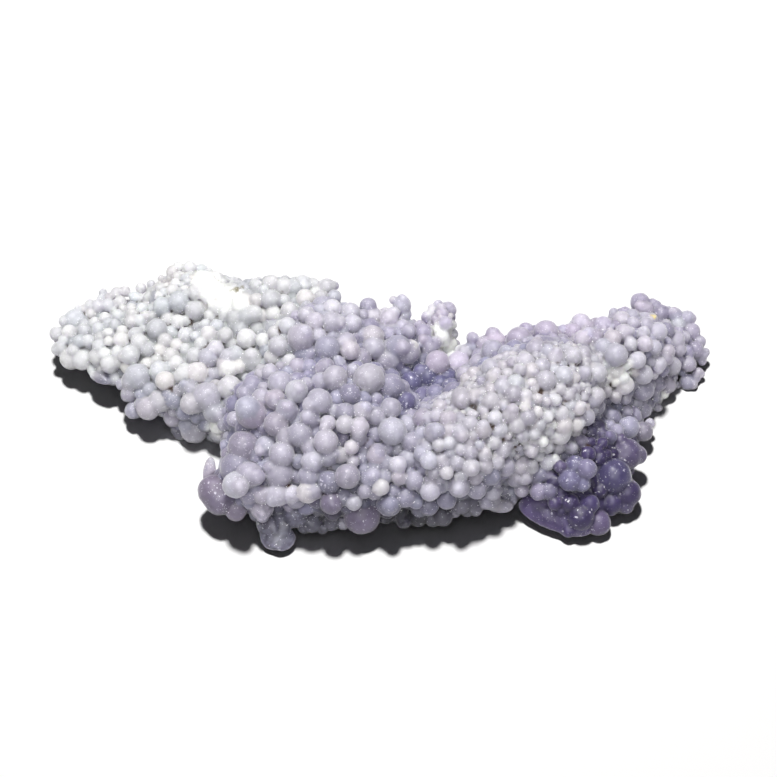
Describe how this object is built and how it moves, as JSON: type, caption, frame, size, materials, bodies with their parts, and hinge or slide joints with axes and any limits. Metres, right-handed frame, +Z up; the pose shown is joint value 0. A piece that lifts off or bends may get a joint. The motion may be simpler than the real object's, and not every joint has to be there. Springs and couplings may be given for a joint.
{
  "type": "botryoidal chalcedony",
  "caption": "Long bent cluster of grape-like lavender chalcedony spheres, with a pale wing, a raised ridge and a flat cut underside that it rests on.",
  "frame": {"origin": "middle of the bounding box, on the flat cut underside", "axes": "+X along the piece from the thin wing to the raised ridge end, -Y towards the pictured front, +Z up from the flat cut"},
  "size_m": [0.135, 0.063, 0.0266],
  "materials": {
    "chalcedony": "milky translucent, waxy to finely sparkling"
  },
  "bodies": {
    "root": {"botryoidal_chalcedony": "chalcedony"}
  },
  "joints": []
}
